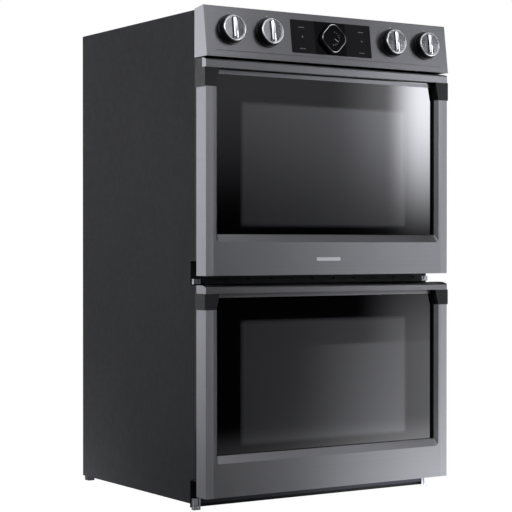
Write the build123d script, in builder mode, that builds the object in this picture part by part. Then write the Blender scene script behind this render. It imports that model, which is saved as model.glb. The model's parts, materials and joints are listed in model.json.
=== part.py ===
"""A 30-inch built-in double wall oven: one cabinet, two cavities, two drop-down doors and a control fascia.

Millimetres, +Z up, the front faces -Y. The origin is the middle of the footprint, on the floor.
"""
from math import atan2, cos, degrees, radians, sin
import os

from build123d import *

os.makedirs("parts", exist_ok=True)

# ---------------------------------------------------------------- driving dimensions
front_width = 756.0            # doors and fascia, 29 3/4 in
block_width = 762.0            # across the handle end blocks
flange_width = 746.0           # front frame
cabinet_width = 722.0          # body that slides into a 28 1/2 in cut-out
sheet = 1.2                    # cabinet sheet
plate = 2.0                    # front frame and door skin

# stations from front to back
door_front = -335.0
bevel_depth = 10.0
glass_front = door_front + 18.5
door_back = door_front + 46
flange_front = door_front + 54
flange_back = flange_front + plate
cabinet_front = door_front + 63
trough_front = door_front + 84
trough_back = trough_front + plate
cavity_back = door_front + 558
cabinet_back = door_front + 700

# heights
foot_height = 12.0
cabinet_bottom = foot_height
cabinet_top = cabinet_bottom + 1231
fascia_bottom = cabinet_bottom + 1108.5
fascia_top = cabinet_bottom + 1236
lower_door_bottom = cabinet_bottom + 25.5
upper_door_bottom = cabinet_bottom + 571
strip_bottom = cabinet_bottom - 6
trough_below_door = 25.0       # where the trough that a door's lower edge swings through starts
trough_above_door = 36.0

# doors: heights are measured from the door's own lower edge
stile_width = 29.0
bevel_side = 8.0
rail_height = 83.0
bevel_bottom = 19.0
bevel_radius = 10.0
surround_width = 12.0
glass_thickness = 4.0
window_half_width = 258.0
window_bottom = 125.0
window_top = 430.0
hinge_inset = door_back - 8    # pivot line inside the door, 8 mm before its back
hinge_rise = 28.0
hinge_x = 330.0
hinge_arm_thickness = 6.0
pin_radius = 4.0
running_fit = 0.05
latch_rise = 497.0
latch_pivot_y = flange_back + 22
plunger_rise = 494.0
plunger_x = -210.0
plunger_radius = 3.0
channel_half = 338.0           # finger channel under the rail

# cavities
cavity_half_width = 308.0
cavity_floor = 82.0
cavity_ceiling = 470.0
insulation_half_width = 345.0
insulation_floor = 52.0
insulation_top = 500.0
insulation_back = cavity_back + 34
rack_rise = 190.0
guide_x = 301.0
guide_radius = 2.5
guide_levels = 5
guide_pitch = 62.0
fan_rise = 270.0
lamp_x = 225.0
lamp_rise = 405.0

# cabinet openings, screw holes, conduit inlet and blower
frame_bands = (
    (lower_door_bottom + trough_above_door, upper_door_bottom - trough_below_door),
    (upper_door_bottom + trough_above_door, fascia_bottom),
)
trough_zones = (
    (cabinet_bottom, frame_bands[0][0] + plate),
    (frame_bands[0][1] - plate, frame_bands[1][0] + plate),
)
mount_hole_radius = 2.5
mount_spacing_x = 733.0
mount_spacing_z = 860.0
mount_centre_z = cabinet_bottom + 570
conduit_x = 250.0
conduit_z = cabinet_bottom + 1150
conduit_radius = 11.0
blower_x = -90.0
blower_y = 150.0
blower_floor = upper_door_bottom + insulation_top + 10

# fascia
face_lean = 17.0               # how far the top of the face sits behind its lower edge
lip_height = 15.5
end_cap = 3.0
knob_spots = (-305.0, -194.0, 194.0, 305.0)
knob_rise = 69.0
display_half_width = 125.0
display_low = 24.0
display_high = 110.0
crease_half = 352.0
knob_radius = 32.5
knob_height = 18.0
collar_radius = 37.5
collar_height = 6.0
shaft_radius = 3.0
dial_rise = 66.0
dial_side = 64.0
dial_corner = 20.0
dial_depth = 13.0
dial_shaft_radius = 5.0

# heights above the door's lower edge, and how far back the rail's ends reach
doors = {
    "upper": {
        "bottom": upper_door_bottom,
        "block": 464.0,
        "grip": 511.0,
        "top": 531.0,
        "rise": 4.0,
        "rail_end": glass_front,
    },
    "lower": {
        "bottom": lower_door_bottom,
        "block": 462.0,
        "grip": 501.5,
        "top": 518.0,
        "rise": 4.0,
        "rail_end": door_back,
    },
}

# the fascia's face is a leaning plane; its local x is the row's x and its local y runs up the face
face_height = fascia_top - fascia_bottom
face_bottom_y = door_front - 4
face_angle = degrees(atan2(face_lean, face_height))
face_normal = (0, -cos(radians(face_angle)), sin(radians(face_angle)))
face_plane = Plane(origin=(0, face_bottom_y, fascia_bottom), x_dir=(1, 0, 0), z_dir=face_normal)


# ---------------------------------------------------------------- helpers
def span(x, y, z, mode=Mode.ADD):
    """Adds a box between two values on each axis to the open part."""
    with Locations(((x[0] + x[1]) / 2, (y[0] + y[1]) / 2, (z[0] + z[1]) / 2)):
        Box(abs(x[1] - x[0]), abs(y[1] - y[0]), abs(z[1] - z[0]), mode=mode)


def rod(start, end, radius, mode=Mode.ADD):
    """Adds a round rod between two points to the open part."""
    axis = Vector(*end) - Vector(*start)
    with BuildSketch(Plane(origin=start, z_dir=axis)) as disc:
        Circle(radius)
    extrude(disc.sketch, amount=axis.length, mode=mode)


def save(builder, name):
    """Labels a finished piece and writes it."""
    builder.part.label = name
    export_step(builder.part, f"parts/{name}.step")


# ---------------------------------------------------------------- cabinet
def make_side_panel(side):
    """A flat side sheet with a return flange along its back edge."""
    outer = side * cabinet_width / 2
    inner = side * (cabinet_width / 2 - sheet)
    with BuildPart() as panel:
        span((inner, outer), (cabinet_front, cabinet_back), (cabinet_bottom, cabinet_top))
        flange = side * (cabinet_width / 2 - 22)
        back = cabinet_back - sheet
        span((flange, inner), (back - sheet, back), (cabinet_bottom + 30, cabinet_top - 30))
        for low, high in trough_zones:
            span((inner - side, outer + side), (cabinet_front - 1, trough_back), (low, high), Mode.SUBTRACT)
        with BuildSketch(Plane.XZ.offset(-back)):
            with Locations((side * (cabinet_width / 2 - 12), (cabinet_bottom + cabinet_top) / 2)):
                with GridLocations(0, 270, 1, 5):
                    Circle(2.5)
        extrude(amount=2 * sheet, both=True, mode=Mode.SUBTRACT)
    return panel


def make_top_cover():
    """The lid: a sheet with pressed stiffening ribs and a cooling slot pattern near the back."""
    edge = cabinet_width / 2 - sheet
    with BuildPart() as cover:
        span((-edge, edge), (flange_back, cabinet_back - sheet), (cabinet_top - sheet, cabinet_top))
        with BuildSketch(Plane.XY.offset(cabinet_top)):
            with Locations((0, 250)):
                with GridLocations(46, 22, 9, 3):
                    SlotOverall(34, 6)
        extrude(amount=2 * sheet, both=True, mode=Mode.SUBTRACT)
    return cover


def make_rear_panel():
    """The back sheet, with air slots, the conduit hole and its screw holes."""
    edge = cabinet_width / 2 - sheet
    with BuildPart() as panel:
        low = cabinet_bottom + sheet
        span((-edge, edge), (cabinet_back - sheet, cabinet_back), (low, cabinet_top - sheet))
        with BuildSketch(Plane.XZ.offset(-cabinet_back)):
            for rise in (cabinet_bottom + 300, cabinet_bottom + 850):
                with Locations((0, rise)):
                    with GridLocations(60, 16, 7, 5):
                        SlotOverall(46, 6)
            with Locations((conduit_x, conduit_z)):
                Circle(conduit_radius)
            for side in (-1, 1):
                with Locations((side * (cabinet_width / 2 - 12), (cabinet_bottom + cabinet_top) / 2)):
                    with GridLocations(0, 270, 1, 5):
                        Circle(2.5)
        extrude(amount=2 * sheet, both=True, mode=Mode.SUBTRACT)
    return panel


def make_panel_screws():
    """Hex-head screws that hold the back sheet to the side sheets' flanges."""
    with BuildPart() as screws:
        for side in (-1, 1):
            spot = (side * (cabinet_width / 2 - 12), (cabinet_bottom + cabinet_top) / 2)
            with BuildSketch(Plane.XZ.offset(-cabinet_back)):
                with Locations(spot):
                    with GridLocations(0, 270, 1, 5):
                        RegularPolygon(4.2, 6)
            extrude(amount=-3)
            with BuildSketch(Plane.XZ.offset(-cabinet_back)):
                with Locations(spot):
                    with GridLocations(0, 270, 1, 5):
                        Circle(2.1)
            extrude(amount=6)
    return screws


def make_base_pan():
    """The cabinet's floor sheet, slotted for air, with a turned-up front edge."""
    edge = cabinet_width / 2 - sheet
    with BuildPart() as pan:
        span((-edge, edge), (trough_back, cabinet_back), (cabinet_bottom, cabinet_bottom + sheet))
        span((-edge, edge), (trough_back, trough_back + sheet), (cabinet_bottom, cabinet_bottom + 24))
        with BuildSketch(Plane.XY.offset(cabinet_bottom)):
            with Locations((0, 60)):
                with GridLocations(120, 130, 4, 3):
                    SlotOverall(60, 8)
        extrude(amount=3 * sheet, mode=Mode.SUBTRACT)
    return pan


def make_front_frame():
    """The folded front sheet: a flange around each mouth, and a set-back trough under each door."""
    half = flange_width / 2
    with BuildPart() as frame:
        for low, high in frame_bands:
            span((-half, half), (flange_front, flange_back), (low, high))
            for side in (-1, 1):
                rim = (side * (half - plate), side * half)
                span(rim, (flange_front - 4, cabinet_front - 1), (low, high))
            span((-half, half), (flange_back, trough_back), (low, low + plate))
        low_band_top = frame_bands[0][1]
        high_band_bottom = frame_bands[1][0]
        span((-half, half), (flange_back, trough_back), (low_band_top - plate, low_band_top))
        span((-half, half), (trough_front, trough_back), (low_band_top - plate, high_band_bottom + plate))
        span((-half, half), (trough_front, trough_back), (strip_bottom, frame_bands[0][0] + plate))
        shelf_half = cabinet_width / 2 - sheet
        shelf_z = (fascia_bottom - plate, fascia_bottom)
        span((-shelf_half, shelf_half), (flange_front, flange_back + 60), shelf_z)
        for door in doors.values():
            bottom = door["bottom"]
            mouth = (-cavity_half_width, cavity_half_width)
            through = (flange_front - 1, flange_back + 1)
            span(mouth, through, (bottom + cavity_floor, bottom + cavity_ceiling), Mode.SUBTRACT)
            span((-9, 9), through, (bottom + latch_rise - 8, bottom + latch_rise + 12), Mode.SUBTRACT)
            rod(
                (plunger_x, through[0], bottom + plunger_rise),
                (plunger_x, through[1], bottom + plunger_rise),
                plunger_radius + running_fit,
                Mode.SUBTRACT,
            )
            for side in (-1, 1):
                slot = (side * hinge_x - 6, side * hinge_x + 6)
                pivot = bottom + hinge_rise
                span(slot, (trough_front - 1, trough_back + 1), (pivot - 12, pivot + 12), Mode.SUBTRACT)
        with BuildSketch(Plane.XZ.offset(-flange_front)):
            with Locations((0, mount_centre_z)):
                with GridLocations(mount_spacing_x, mount_spacing_z, 2, 2):
                    Circle(mount_hole_radius)
        extrude(amount=3 * plate, both=True, mode=Mode.SUBTRACT)
        for door in doors.values():
            latch_stirrups(door["bottom"] + latch_rise)
    return frame


def latch_stirrups(level):
    """Adds the welded stirrup pair that carries a lock hook's pivot to the open part."""
    for side in (-1, 1):
        ear = (side * 10.5, side * 13)
        span(ear, (flange_back, latch_pivot_y + 8), (level - 8, level + 10))
        span((side * 10.5, side * 26), (flange_back, flange_back + 2), (level - 8, level + 10))
    rod((-14, latch_pivot_y, level), (14, latch_pivot_y, level), 3 + running_fit, Mode.SUBTRACT)


# ---------------------------------------------------------------- cavities
def make_cavity(door):
    """An enamelled box with an open front, pressed floor edge, and holes for the fan, lamp and sensor."""
    floor = door["bottom"] + cavity_floor
    ceiling = door["bottom"] + cavity_ceiling
    half = cavity_half_width
    with BuildPart() as cavity:
        outer_z = (floor - sheet, ceiling + sheet)
        span((-half - sheet, half + sheet), (flange_back, cavity_back + sheet), outer_z)
        span((-half, half), (flange_back - 1, cavity_back), (floor, ceiling), Mode.SUBTRACT)
        behind = Plane.XZ.offset(-cavity_back)
        with BuildSketch(behind):
            with Locations((0, door["bottom"] + fan_rise)):
                Circle(9)
            with Locations((lamp_x, door["bottom"] + lamp_rise)):
                Circle(24)
            with Locations((-lamp_x, door["bottom"] + lamp_rise)):
                Circle(3.2)
        extrude(amount=3 * sheet, both=True, mode=Mode.SUBTRACT)
    return cavity


def make_insulation():
    """Mineral-wool wraps, one round each cavity, open at the front and round the fan motor."""
    half = insulation_half_width
    inner = cavity_half_width + sheet
    with BuildPart() as wraps:
        for door in doors.values():
            bottom = door["bottom"]
            wrap_front = flange_back + 2
            wrap_z = (bottom + insulation_floor, bottom + insulation_top)
            span((-half, half), (wrap_front, insulation_back), wrap_z)
        for door in doors.values():
            bottom = door["bottom"]
            inner_z = (bottom + cavity_floor - sheet, bottom + cavity_ceiling + sheet)
            span((-inner, inner), (flange_back, cavity_back + sheet), inner_z, Mode.SUBTRACT)
            hollow = (cavity_back, insulation_back + 1)
            rod((0, hollow[0], bottom + fan_rise), (0, hollow[1], bottom + fan_rise), 46, Mode.SUBTRACT)
            for side, radius in ((1, 30), (-1, 14)):
                spot = side * lamp_x
                level = bottom + lamp_rise
                rod((spot, hollow[0], level), (spot, hollow[1], level), radius, Mode.SUBTRACT)
            notch_z = (bottom + cavity_ceiling + sheet, bottom + insulation_top + 1)
            span((-34, 34), (flange_back, flange_back + 70), notch_z, Mode.SUBTRACT)
            notch_x = (plunger_x - 12, plunger_x + 12)
            span(notch_x, (flange_back, flange_back + 40), notch_z, Mode.SUBTRACT)
            bake = (bottom + insulation_floor + 12, bottom + cavity_floor - sheet)
            span((-230, 230), (door_front + 120, door_front + 500), bake, Mode.SUBTRACT)
    return wraps


def make_gaskets():
    """Woven door seals, one ring round each mouth, standing just short of the closed door."""
    with BuildPart() as gaskets:
        for door in doors.values():
            middle = door["bottom"] + (cavity_floor + cavity_ceiling) / 2
            tall = cavity_ceiling - cavity_floor
            with BuildSketch(Plane.XZ.offset(-flange_front)):
                with Locations((0, middle)):
                    RectangleRounded(2 * cavity_half_width + 24, tall + 24, 22)
                    RectangleRounded(2 * cavity_half_width + 6, tall + 6, 14, mode=Mode.SUBTRACT)
            extrude(amount=flange_front - door_back - 0.6)
    return gaskets


def make_rack_guides():
    """Wire ladders on the side walls, which carry the racks."""
    front = flange_back + 26
    back = cavity_back - 62
    with BuildPart() as guides:
        for door in doors.values():
            bottom = door["bottom"]
            first = bottom + rack_rise - 4.15 - guide_pitch
            for side in (-1, 1):
                x = side * guide_x
                low = first - 14
                high = first + (guide_levels - 1) * guide_pitch + 14
                post_x = side * (guide_x + 3.6)
                for station in (front + 18, back - 18):
                    rod((post_x, station, low), (post_x, station, high), guide_radius)
                    for level in (low + 6, high - 6):
                        wall_end = (side * cavity_half_width, station, level)
                        rod((post_x, station, level), wall_end, guide_radius)
                for step in range(guide_levels):
                    level = first + step * guide_pitch
                    rod((x, front, level), (x, back, level), guide_radius)
    return guides


def make_rack(door):
    """A chromed wire rack: a round frame, two cross rods and a row of lengthwise wires."""
    level = door["bottom"] + rack_rise
    front = door_front + 84
    back = cavity_back - 66
    edge = 297.0
    with BuildPart() as rack:
        for side in (-1, 1):
            rod((side * edge, front, level), (side * edge, back, level), 3)
        for station in (front, back, front + 130, back - 130):
            lift = 0 if station in (front, back) else -1
            rod((-edge, station, level + lift), (edge, station, level + lift), 3)
        wires = 21
        for step in range(wires):
            x = -edge + (step + 1) * 2 * edge / (wires + 1)
            rod((x, front, level + 1), (x, back, level + 1), 1.8)
        for corner_x in (-edge, edge):
            for corner_y in (front, back):
                with Locations((corner_x, corner_y, level)):
                    Sphere(3)
    return rack


def element_loop(corner_x, low_y, high_y, z, radius, loops):
    """Adds a flat serpentine tube between two stations to the open part."""
    pitch = 2 * corner_x / (2 * loops - 1)
    points = [(-corner_x, high_y + 40, z)]
    for step in range(2 * loops):
        x = -corner_x + step * pitch
        ends = (high_y, low_y) if step % 2 == 0 else (low_y, high_y)
        points.append((x, ends[0], z))
        points.append((x, ends[1], z))
    points[-1] = (corner_x, high_y + 40, z)
    del points[1]
    with BuildLine() as path:
        FilletPolyline(*points, radius=pitch * 0.42)
    with BuildSketch(Plane(origin=path.line @ 0, z_dir=path.line % 0)) as disc:
        Circle(radius)
    sweep(disc.sketch, path=path.line)


def make_heating_elements():
    """Tubular elements: a grill loop under each ceiling, a hidden base loop, and a ring round each fan."""
    with BuildPart() as elements:
        for door in doors.values():
            bottom = door["bottom"]
            grill_z = bottom + cavity_ceiling - 22
            element_loop(230, door_front + 110, cavity_back - 80, grill_z, 4, 3)
            base_z = bottom + cavity_floor - sheet - 9
            element_loop(190, door_front + 150, door_front + 440, base_z, 3.6, 3)
            with BuildLine(Plane.XZ.offset(-(cavity_back - 24))) as ring:
                with Locations((0, bottom + fan_rise)):
                    CenterArc((0, bottom + fan_rise), 96, 100, 340)
            with BuildSketch(Plane(origin=ring.line @ 0, z_dir=ring.line % 0)):
                Circle(3.6)
            sweep(path=ring.line)
    return elements


def make_fan_covers():
    """Pressed covers in front of the fans, with an intake grille and side outlets."""
    plate_front = cavity_back - 44
    half = 122.0
    with BuildPart() as covers:
        for door in doors.values():
            rise = door["bottom"] + fan_rise
            low = rise - half
            high = rise + half
            span((-half, half), (plate_front, cavity_back), (low, high))
        for door in doors.values():
            rise = door["bottom"] + fan_rise
            inner = half - sheet
            hollow_z = (rise - inner, rise + inner)
            span((-inner, inner), (plate_front + sheet, cavity_back), hollow_z, Mode.SUBTRACT)
            with BuildSketch(Plane.XZ.offset(-plate_front)):
                with Locations((0, rise)):
                    for ring_radius, holes in ((16, 6), (30, 12), (44, 18), (58, 24)):
                        with PolarLocations(ring_radius, holes):
                            Circle(4.4)
                    for side in (-1, 1):
                        with Locations((side * 100, 0)):
                            with GridLocations(0, 30, 1, 6):
                                SlotOverall(22, 7, rotation=90)
            extrude(amount=2 * sheet, both=True, mode=Mode.SUBTRACT)
    return covers


def make_fan(door):
    """A paddle fan wheel on its shaft."""
    rise = door["bottom"] + fan_rise
    disc_front = cavity_back - 12
    with BuildPart() as fan:
        with BuildSketch(Plane.XZ.offset(-disc_front)):
            with Locations((0, rise)):
                Circle(74)
        extrude(amount=-1.5)
        with BuildSketch(Plane.XZ.offset(-disc_front)):
            with Locations((0, rise)):
                with PolarLocations(56, 10):
                    Rectangle(32, 1.6)
        extrude(amount=20)
        with BuildSketch(Plane.XZ.offset(-(disc_front - 8))):
            with Locations((0, rise)):
                Circle(9)
        extrude(amount=-8)
        rod((0, disc_front - 10, rise), (0, cavity_back + 24, rise), 4)
    return fan


def make_fan_motors():
    """Shaded-pole motors behind the cavities; each case has the shaft's bearing bore."""
    with BuildPart() as motors:
        for door in doors.values():
            rise = door["bottom"] + fan_rise
            rod((0, cavity_back + 8, rise), (0, cavity_back + 62, rise), 34)
            for side in (-1, 1):
                span((side * 20, side * 44), (cavity_back + 8, cavity_back + 12), (rise - 10, rise + 10))
            rod((0, cavity_back + 7, rise), (0, cavity_back + 30, rise), 4 + running_fit, Mode.SUBTRACT)
    return motors


def make_oven_lamps():
    """Lamp lenses seated in the rear walls, each with its holder behind."""
    with BuildPart() as lamps:
        for door in doors.values():
            rise = door["bottom"] + lamp_rise
            rod((lamp_x, cavity_back - 3, rise), (lamp_x, cavity_back, rise), 30)
            rod((lamp_x, cavity_back, rise), (lamp_x, cavity_back + 26, rise), 23.6)
            with BuildSketch(Plane(origin=(lamp_x, cavity_back - 3, rise), z_dir=(0, -1, 0))):
                Circle(24)
            extrude(amount=9, taper=25)
    return lamps


def make_sensors():
    """Temperature probes that stand into the cavities from the rear walls."""
    with BuildPart() as sensors:
        for door in doors.values():
            rise = door["bottom"] + lamp_rise
            rod((-lamp_x, cavity_back - 70, rise), (-lamp_x, cavity_back + 20, rise), 3.1)
            rod((-lamp_x, cavity_back - 2, rise), (-lamp_x, cavity_back, rise), 10)
    return sensors


# ---------------------------------------------------------------- doors
def make_door_frame(door):
    """The brushed U: two stiles and a deep bottom rail, bevelled in towards the glass and hollow behind."""
    half = front_width / 2
    bottom = door["bottom"]
    top = bottom + door["block"]
    opening = half - stile_width
    with BuildPart() as frame:
        span((-half, half), (door_front, door_back), (bottom, top))
        fillet(frame.edges().filter_by(Axis.Z).group_by(Axis.Y)[0], 1.2)
        low = bottom + rail_height
        with BuildSketch(Plane.XZ.offset(-door_front)) as mouth:
            with Locations((0, low)):
                Rectangle(2 * opening, 2 * (top - low), align=(Align.CENTER, Align.MIN))
            fillet(mouth.vertices().group_by(Axis.Y)[0], bevel_radius)
        inner_half = opening - bevel_side
        inner_low = low + bevel_bottom
        back_plane = Plane.XZ.offset(-(door_front + bevel_depth))
        with BuildSketch(back_plane) as throat:
            with Locations((0, inner_low)):
                Rectangle(2 * inner_half, 2 * (top - low) - bevel_bottom, align=(Align.CENTER, Align.MIN))
            fillet(throat.vertices().group_by(Axis.Y)[0], 2.0)
        loft(ruled=True, mode=Mode.SUBTRACT)
        span((-inner_half, inner_half), (door_front, door_back + 1), (inner_low, top + 1), Mode.SUBTRACT)
        core = half - plate
        core_inner = opening + 4
        for side in (-1, 1):
            core_x = (side * core_inner, side * core)
            span(core_x, (door_front + plate, door_back + 1), (bottom + plate, top + 1), Mode.SUBTRACT)
            step_x = (side * (inner_half - 1), side * core)
            step_y = (door_front + bevel_depth, door_back + 1)
            span(step_x, step_y, (bottom + plate, top + 1), Mode.SUBTRACT)
        core_z = (bottom + plate, low - 4)
        span((-core, core), (door_front + plate, door_back + 1), core_z, Mode.SUBTRACT)
        step_z = (bottom + plate, inner_low + 1)
        span((-core, core), (door_front + bevel_depth, door_back + 1), step_z, Mode.SUBTRACT)
        for side in (-1, 1):
            slot = (side * hinge_x - 9, side * hinge_x + 9)
            span(slot, (hinge_inset - 16, door_back + 1), (bottom - 1, bottom + plate + 1), Mode.SUBTRACT)
    return frame


def make_door_surround(door):
    """The black channel between the bevel and the glass."""
    bottom = door["bottom"]
    inner = front_width / 2 - stile_width - bevel_side
    inner_low = bottom + rail_height + bevel_bottom
    outer = inner + surround_width
    top = bottom + door["grip"]
    with BuildPart() as surround:
        span((-outer, outer), (door_front + bevel_depth, glass_front), (inner_low - surround_width, top))
        span((-inner, inner), (door_front, glass_front + 1), (inner_low, top + 1), Mode.SUBTRACT)
    return surround


def make_door_glass(door):
    """The outer pane."""
    bottom = door["bottom"]
    half = front_width / 2 - stile_width - bevel_side + surround_width
    low = bottom + rail_height + bevel_bottom - surround_width
    with BuildPart() as glass:
        span((-half, half), (glass_front, glass_front + glass_thickness), (low, bottom + door["top"] - 6))
        fillet(glass.edges().filter_by(Axis.Y), 4)
    return glass


def make_door_liner(door):
    """The inner pan: a back sheet with a raised plug, the window, the hinge notches and the latch slot."""
    bottom = door["bottom"]
    half = front_width / 2 - plate
    top = bottom + door["top"] + door["rise"]
    plug_half = cavity_half_width - 12
    plug = (bottom + cavity_floor + 12, bottom + cavity_ceiling - 8)
    plug_back = door_back + 6
    cap_half = flange_width / 2
    block_inner = front_width / 2 - stile_width - bevel_side + surround_width
    with BuildPart() as liner:
        block_level = bottom + door["block"]
        span((-half, half), (door_back - sheet, door_back), (bottom + plate, block_level))
        span((-block_inner, block_inner), (door_back - sheet, door_back), (block_level, top - 1))
        with BuildSketch(Plane.XZ.offset(-door_back)):
            with Locations((0, (plug[0] + plug[1]) / 2)):
                RectangleRounded(2 * plug_half, plug[1] - plug[0], 24)
        extrude(amount=-(plug_back - door_back))
        inner_z = (plug[0] + sheet + 3, plug[1] - sheet - 3)
        plug_inner = plug_half - sheet - 3
        span((-plug_inner, plug_inner), (door_back - 2, plug_back - sheet), inner_z, Mode.SUBTRACT)
        window_z = (bottom + window_bottom, bottom + window_top)
        window_x = (-window_half_width, window_half_width)
        span(window_x, (door_back - 2, plug_back + 1), window_z, Mode.SUBTRACT)
        cap_front = glass_front + glass_thickness
        span((-block_inner, block_inner), (cap_front, door_back), (top - 3, top - 1))
        slot_z = (bottom + latch_rise - 6, bottom + latch_rise + 9)
        span((-9, 9), (door_back - 3, door_back + 1), slot_z, Mode.SUBTRACT)
        for side in (-1, 1):
            slot = (side * hinge_x - 9, side * hinge_x + 9)
            notch_z = (bottom - 1, bottom + hinge_rise + 14)
            span(slot, (door_back - 3, door_back + 1), notch_z, Mode.SUBTRACT)
    return liner


def make_inner_glass(door):
    """The heat-reflecting inner pane in the liner's window."""
    bottom = door["bottom"]
    pane_back = door_back + 6
    half = window_half_width
    window_z = (bottom + window_bottom, bottom + window_top)
    with BuildPart() as glass:
        span((-half, half), (pane_back - glass_thickness, pane_back), window_z)
    return glass


def make_handle_rail(door):
    """The full-width pull: a hooked bar whose underside is a finger channel."""
    half = front_width / 2
    bottom = door["bottom"]
    low = bottom + door["grip"]
    top = bottom + door["top"]
    back_top = top + door["rise"]
    with BuildPart() as rail:
        with BuildSketch(Plane.YZ.offset(-half)) as profile:
            with BuildLine():
                Polyline(
                    (door_front, low),
                    (door_front, top - 3),
                    (door_front + 2, top),
                    (glass_front, back_top),
                    (glass_front, low),
                    close=True,
                )
            make_face()
        extrude(amount=2 * half)
        end_inner = front_width / 2 - stile_width - bevel_side + surround_width
        if door["rail_end"] > glass_front:
            for side in (-1, 1):
                span((side * end_inner, side * half), (glass_front, door["rail_end"]), (low, back_top))
        pocket_x = (-channel_half, channel_half)
        span(pocket_x, (door_front + 3.5, glass_front - 3), (low - 1, top - 3.5), Mode.SUBTRACT)
    return rail


def make_handle_ends(door):
    """Dark blocks that wrap the door's top corners and carry the rail; their inner edges lean."""
    bottom = door["bottom"]
    low = bottom + door["block"]
    high = bottom + door["grip"]
    back_top = bottom + door["top"] + door["rise"]
    outer = block_width / 2
    front_inner = front_width / 2 - stile_width - 2
    back_inner = front_width / 2 - stile_width - bevel_side + surround_width
    with BuildPart() as ends:
        for side in (-1, 1):
            with BuildSketch(Plane.XZ.offset(-door_front)):
                with BuildLine():
                    Polyline(
                        (side * (front_inner + 1), low),
                        (side * outer, low),
                        (side * outer, high),
                        (side * (front_inner - 8), high),
                        close=True,
                    )
                make_face()
            extrude(amount=-bevel_depth)
            span((side * back_inner, side * outer), (door_front + bevel_depth, door_back + 2), (low, high))
            if door["rail_end"] < door_back:
                cheek_x = (side * back_inner, side * front_width / 2)
                span(cheek_x, (door["rail_end"], door_back), (high, back_top))
    return ends


def make_hinge_arms(door):
    """The door's half of each hinge: a cheek plate pair and the pivot pin between them."""
    bottom = door["bottom"]
    pivot = bottom + hinge_rise
    with BuildPart() as arms:
        for side in (-1, 1):
            for cheek in (-1, 1):
                outer = side * hinge_x + cheek * 8.5
                inner = side * hinge_x + cheek * 6.5
                span((inner, outer), (door_front + 14, door_back - sheet), (bottom + plate, bottom + 78))
            for height in (62, 70):
                spacer_y = door_front + 22
                rod(
                    (side * hinge_x - 6.5, spacer_y, bottom + height),
                    (side * hinge_x + 6.5, spacer_y, bottom + height),
                    2.5,
                )
            pin = (side * hinge_x - 6.5, side * hinge_x + 6.5)
            rod((pin[0], hinge_inset, pivot), (pin[1], hinge_inset, pivot), pin_radius)
    return arms


def make_hinge_receivers():
    """The cabinet's half of each hinge: a box behind the trough and an arm with an eye round the pin."""
    with BuildPart() as receivers:
        for door in doors.values():
            pivot = door["bottom"] + hinge_rise
            for side in (-1, 1):
                x = side * hinge_x
                half = hinge_arm_thickness / 2
                span((x - half, x + half), (hinge_inset, trough_back + 30), (pivot - 5, pivot + 5))
                with BuildSketch(Plane.YZ.offset(x - half)):
                    with Locations((hinge_inset, pivot)):
                        Circle(7.5)
                extrude(amount=2 * half)
                with BuildSketch(Plane.YZ.offset(x - half - 1)):
                    with Locations((hinge_inset, pivot)):
                        Circle(pin_radius + running_fit)
                extrude(amount=2 * half + 2, mode=Mode.SUBTRACT)
                span((x - 14, x + 14), (trough_back, trough_back + 34), (pivot - 20, pivot + 13))
    return receivers


def make_badge():
    """A plain raised name plate, left blank."""
    low = upper_door_bottom + 35
    with BuildPart() as badge:
        with BuildSketch(Plane.XZ.offset(-door_front)):
            with Locations((-12, low + 5)):
                RectangleRounded(74, 9, 2)
        extrude(amount=0.8)
        fillet(badge.faces().sort_by(Axis.Y)[0].edges(), 0.3)
    return badge


def make_latch(door):
    """A lock hook on its pivot, drawn back so that its tip just shows through the front frame."""
    bottom = door["bottom"]
    level = bottom + latch_rise
    with BuildPart() as latch:
        with BuildSketch(Plane.YZ.offset(-3)):
            with BuildLine():
                Polyline(
                    (latch_pivot_y + 6, level + 2),
                    (flange_front - 3, level + 2),
                    (flange_front - 3, level - 3),
                    (flange_front + 0.5, level - 3),
                    (flange_front + 0.5, level - 0.5),
                    (latch_pivot_y + 6, level - 2),
                    close=True,
                )
            make_face()
            with Locations((latch_pivot_y, level)):
                Circle(7)
        extrude(amount=6)
        rod((-15, latch_pivot_y, level), (15, latch_pivot_y, level), 3)
    return latch


def make_plunger(door):
    """A door switch's plunger; the door pushes it in."""
    level = door["bottom"] + plunger_rise
    tip = door_back + 0.6
    with BuildPart() as plunger:
        rod((plunger_x, tip, level), (plunger_x, flange_back + 14, level), plunger_radius)
        rod((plunger_x, flange_back + 4, level), (plunger_x, flange_back + 6, level), 5)
    return plunger


# ---------------------------------------------------------------- fascia and controls
def fascia_profile(inset):
    """Adds the fascia's side profile, moved in by inset, to the open sketch."""
    back = flange_front + 1 - inset
    low = fascia_bottom + inset
    slope = face_lean / face_height
    front = face_bottom_y + inset
    with BuildLine() as outline:
        Polyline(
            (front, low),
            (front + slope * (fascia_top - low), fascia_top - inset - 1),
            (back, fascia_top - inset - 7),
            (back, low),
            close=True,
        )
    make_face(outline.edges())


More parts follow.
